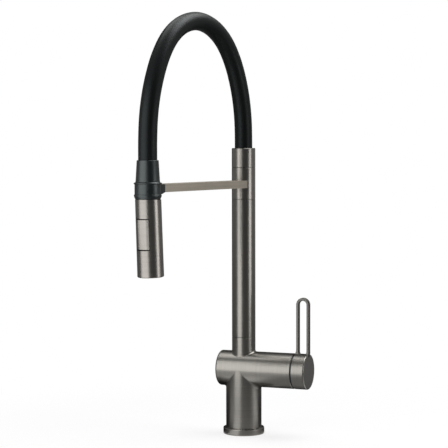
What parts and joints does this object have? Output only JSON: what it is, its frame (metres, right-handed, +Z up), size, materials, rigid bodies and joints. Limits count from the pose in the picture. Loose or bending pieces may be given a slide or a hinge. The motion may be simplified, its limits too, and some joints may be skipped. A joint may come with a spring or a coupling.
{
  "type": "kitchen faucet",
  "caption": "Side-lever kitchen faucet: round riser with a flat magnetic holder arm, a soft black hose arch and a docked pull-off spray head with a rocker button.",
  "frame": {"origin": "on the deck, under the middle of the column", "axes": "+Z up along the riser, +X along the valve barrel to the lever, -Y toward the person at the sink"},
  "size_m": [0.1429, 0.2544, 0.5306],
  "materials": {
    "brushed_gunmetal": "brushed dark steel, satin",
    "black_plastic": "satin black",
    "black_hose": "smooth satin black",
    "brass": "machined",
    "seal_rubber": "soft black",
    "ceramic": "polished",
    "white_plastic": "moulded",
    "bare_steel": "plain steel"
  },
  "bodies": {
    "body": {"faucet_body": "brushed_gunmetal", "base_flange": "brushed_gunmetal", "deck_gasket": "seal_rubber", "inlet_block": "brass", "inlet_seals": "seal_rubber", "cartridge_base": "white_plastic", "cartridge_housing": "white_plastic", "fixed_disc": "ceramic", "cartridge_seals": "seal_rubber", "cartridge_nut": "brass", "slide_ring": "black_plastic", "swivel_washer": "black_plastic", "neck_screw": "bare_steel"},
    "lever": {"lever_drum": "brushed_gunmetal", "lever_loop": "brushed_gunmetal", "lever_screw": "bare_steel", "cartridge_stem": "white_plastic", "moving_disc": "ceramic"},
    "spout": {"riser_tube": "brushed_gunmetal", "riser_spigot": "brass", "spigot_seals": "seal_rubber", "riser_plug": "brass", "arm_collar": "brushed_gunmetal", "holder_arm": "brushed_gunmetal", "dock_block": "black_plastic", "dock_magnet": "bare_steel", "dock_screw": "bare_steel", "top_ferrule": "brushed_gunmetal", "hose_nipple": "brass", "nipple_seal": "seal_rubber", "hose": "black_hose"},
    "hose_end": {"hose_end_fitting": "brass", "hose_end_seal": "seal_rubber"},
    "spray_head": {"spray_shell": "brushed_gunmetal", "hose_cone": "black_plastic", "dock_collar": "black_plastic", "keeper_ring": "bare_steel", "spray_core": "black_plastic", "core_seals": "seal_rubber", "check_valve": "white_plastic", "nozzle_plate": "black_plastic", "stream_former": "white_plastic", "rocker_pin": "bare_steel"},
    "rocker": {"rocker_button": "brushed_gunmetal"},
    "spool": {"diverter_spool": "brass", "spool_seals": "seal_rubber"}
  },
  "joints": [
    {"name": "lever_turn", "type": "hinge", "parent": "body", "child": "lever", "pos_m": [0.0793, 0, 0.083], "axis": [1, 0, 0], "range_deg": [0, 95]},
    {"name": "spout_swivel", "type": "hinge", "parent": "body", "child": "spout", "pos_m": [0, 0, 0.124], "axis": [0, 0, 1], "continuous": true},
    {"name": "undock", "type": "slide", "parent": "spout", "child": "hose_end", "axis": [-0.1736, -0.9848, 0], "range_m": [0, 0.045], "deforming": ["hose"]},
    {"name": "head_swivel", "type": "hinge", "parent": "hose_end", "child": "spray_head", "pos_m": [-0.03733, -0.21173, 0.302], "axis": [0, 0, 1], "continuous": true},
    {"name": "rocker_tilt", "type": "hinge", "parent": "spray_head", "child": "rocker", "pos_m": [-0.03808, -0.21596, 0.2661], "axis": [0.9848, -0.1736, 0], "range_deg": [-4, 4]},
    {"name": "spool_slide", "type": "slide", "parent": "spray_head", "child": "spool", "axis": [-0.0091, -0.0515, 0.9986], "range_m": [-0.0009, 0.0009]}
  ],
  "couplings": [
    {"joint": "spool_slide", "follows": "rocker_tilt", "m_per_rad": 0.012}
  ]
}
